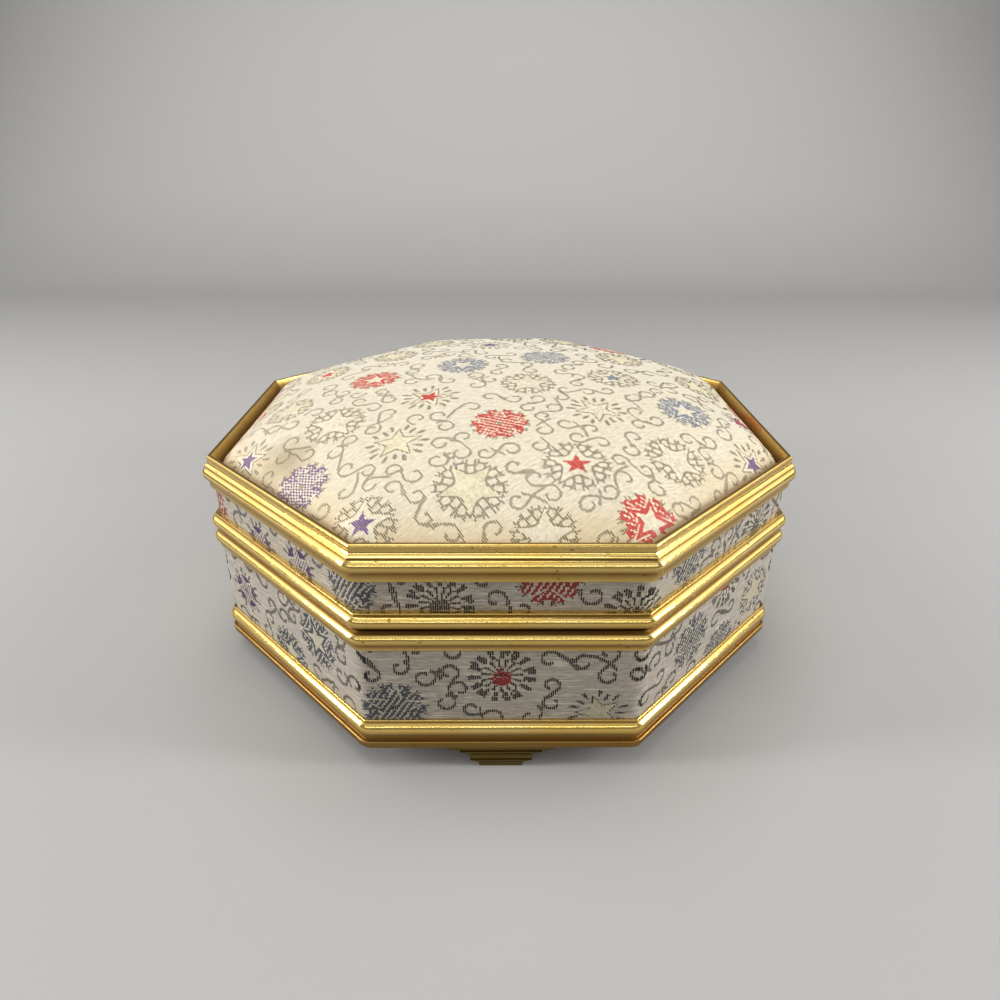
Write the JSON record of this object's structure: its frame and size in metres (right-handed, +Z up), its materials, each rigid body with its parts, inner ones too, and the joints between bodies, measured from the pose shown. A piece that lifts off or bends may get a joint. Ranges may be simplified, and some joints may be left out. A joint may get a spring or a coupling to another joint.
{
  "type": "octagonal brocade keepsake box",
  "caption": "Octagonal keepsake box in silk brocade, with gilt mouldings, bracket feet and a padded hinged lid.",
  "frame": {"origin": "the centre of the octagon, at the level of the soles of the feet", "axes": "+Z up; the front faces -Y and the hinges are on the +Y side; +X is to the right seen from the front"},
  "size_m": [0.1502, 0.1523, 0.0726],
  "materials": {
    "gilt_metal": "polished gilt, lightly worn",
    "brocade": "woven silk, satin ground",
    "velvet": "short pile, matte",
    "casing_board": "plain sanded",
    "wadding": "cotton wadding",
    "underside_felt": "felt, matte",
    "steel": "plain steel"
  },
  "bodies": {
    "base": {"base_bottom_frame": "gilt_metal", "base_top_rim": "gilt_metal", "base_wall": "casing_board", "base_brocade": "brocade", "base_floor_board": "casing_board", "base_floor_pad": "velvet", "base_wall_lining": "velvet", "base_underside_cover": "underside_felt", "foot_right": "gilt_metal", "foot_back": "gilt_metal", "foot_left": "gilt_metal", "foot_front": "gilt_metal", "foot_screws": "steel", "hinge_base_leaf_left": "gilt_metal", "hinge_base_leaf_right": "gilt_metal", "hinge_base_screws": "gilt_metal", "hinge_pin_left": "steel", "hinge_pin_right": "steel"},
    "lid": {"lid_top_frame": "gilt_metal", "lid_bottom_rim": "gilt_metal", "lid_wall": "casing_board", "lid_brocade": "brocade", "lid_dome_board": "casing_board", "lid_dome_padding": "wadding", "lid_dome_brocade": "brocade", "lid_wall_lining": "velvet", "lid_lining_pad": "velvet", "hinge_lid_leaf_left": "gilt_metal", "hinge_lid_leaf_right": "gilt_metal", "hinge_lid_screws": "gilt_metal"}
  },
  "joints": [
    {"name": "lid_hinge", "type": "hinge", "parent": "base", "child": "lid", "pos_m": [0, 0.0762, 0.0381], "axis": [-1, 0, 0], "range_deg": [0, 95]}
  ]
}
